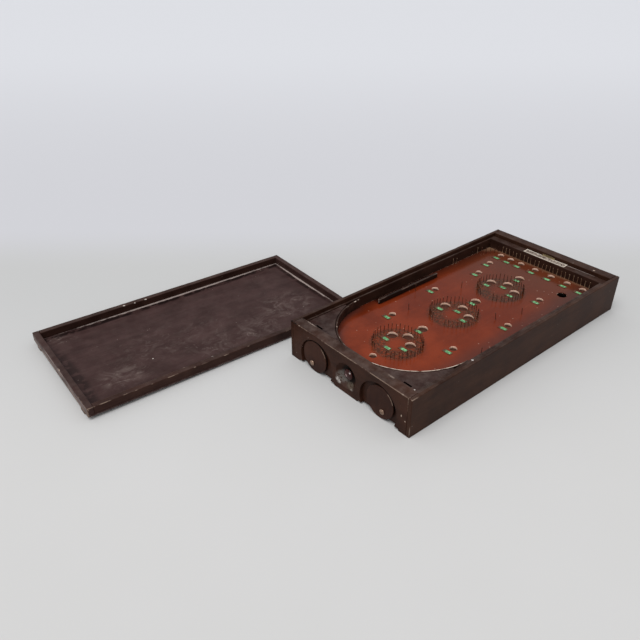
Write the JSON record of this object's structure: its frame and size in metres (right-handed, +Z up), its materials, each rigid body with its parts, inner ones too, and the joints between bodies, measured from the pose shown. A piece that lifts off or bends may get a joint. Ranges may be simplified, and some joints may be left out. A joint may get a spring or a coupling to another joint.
{
  "type": "bagatelle board",
  "caption": "Shallow wooden bagatelle box with a round-topped nailed playfield, scoring pockets, swing-out tilting discs, a stored cue and a lift-off tray lid.",
  "frame": {"origin": "middle of the box's underside, on the surface that it stands on", "axes": "+X from the round end of the field to the player's end, +Y to the ball lane's side, +Z up"},
  "size_m": [1.2216, 0.8159, 0.096],
  "materials": {
    "dark_brown_wood": "dark brown stain under worn satin varnish",
    "bare_wood": "bare softwood",
    "red_brown_board": "red-brown painted facing with dull nails, worn satin",
    "turned_knob_wood": "dark polished turned wood",
    "green_paper": "matt green paper",
    "aged_paper": "matt aged paper, blank",
    "dull_steel": "dull worn steel"
  },
  "bodies": {
    "board": {"side_rail_front": "dark_brown_wood", "side_rail_back": "dark_brown_wood", "round_end_rail": "dark_brown_wood", "square_end_rail": "dark_brown_wood", "lining_front": "dark_brown_wood", "lining_back": "dark_brown_wood", "lining_square_end": "dark_brown_wood", "corner_block_front": "dark_brown_wood", "corner_block_back": "dark_brown_wood", "arc_strip": "dark_brown_wood", "lane_rail": "dark_brown_wood", "bottom_panel": "dark_brown_wood", "bearer_round": "bare_wood", "bearer_mid": "bare_wood", "bearer_square": "bare_wood", "playfield_board": "bare_wood", "playfield_facing": "red_brown_board", "end_label": "aged_paper", "score_label_01": "green_paper", "score_label_02": "green_paper", "score_label_03": "green_paper", "score_label_04": "green_paper", "score_label_05": "green_paper", "score_label_06": "green_paper", "score_label_07": "green_paper", "score_label_08": "green_paper", "score_label_09": "green_paper", "score_label_10": "green_paper", "score_label_11": "green_paper", "score_label_12": "green_paper", "score_label_13": "green_paper", "score_label_14": "green_paper", "score_label_15": "green_paper", "score_label_16": "green_paper", "score_label_17": "green_paper", "score_label_18": "green_paper", "score_label_19": "green_paper", "score_label_20": "green_paper", "score_label_21": "green_paper", "score_label_22": "green_paper", "score_label_23": "green_paper", "score_label_24": "green_paper", "score_label_25": "green_paper", "score_label_26": "green_paper", "pivot_screw_front": "dull_steel", "pivot_screw_back": "dull_steel", "washer_front": "dull_steel", "washer_back": "dull_steel"},
    "foot_back": {"foot_disc_back": "dark_brown_wood"},
    "foot_front": {"foot_disc_front": "dark_brown_wood"},
    "cue": {"cue_shaft": "bare_wood", "cue_knob": "turned_knob_wood"},
    "lid": {"lid_panel": "dark_brown_wood", "lid_rail_front": "dark_brown_wood", "lid_rail_back": "dark_brown_wood", "lid_rail_round": "dark_brown_wood", "lid_rail_square": "dark_brown_wood", "lid_tab_front": "dark_brown_wood", "lid_tab_back": "dark_brown_wood"}
  },
  "joints": [
    {"name": "foot_back_swing", "type": "hinge", "parent": "board", "child": "foot_back", "pos_m": [-0.3742, 0.11167, 0.01946], "axis": [1, 0, 0], "range_deg": [0, 144]},
    {"name": "foot_front_swing", "type": "hinge", "parent": "board", "child": "foot_front", "pos_m": [-0.3742, -0.11167, 0.01946], "axis": [-1, 0, 0], "range_deg": [0, 144]},
    {"name": "cue_pull", "type": "slide", "parent": "board", "child": "cue", "axis": [-1, 0, 0], "range_m": [0, 0.395]},
    {"name": "lid_lift", "type": "slide", "parent": "board", "child": "lid", "axis": [0, 0, 1], "range_m": [0, 0.25]}
  ]
}
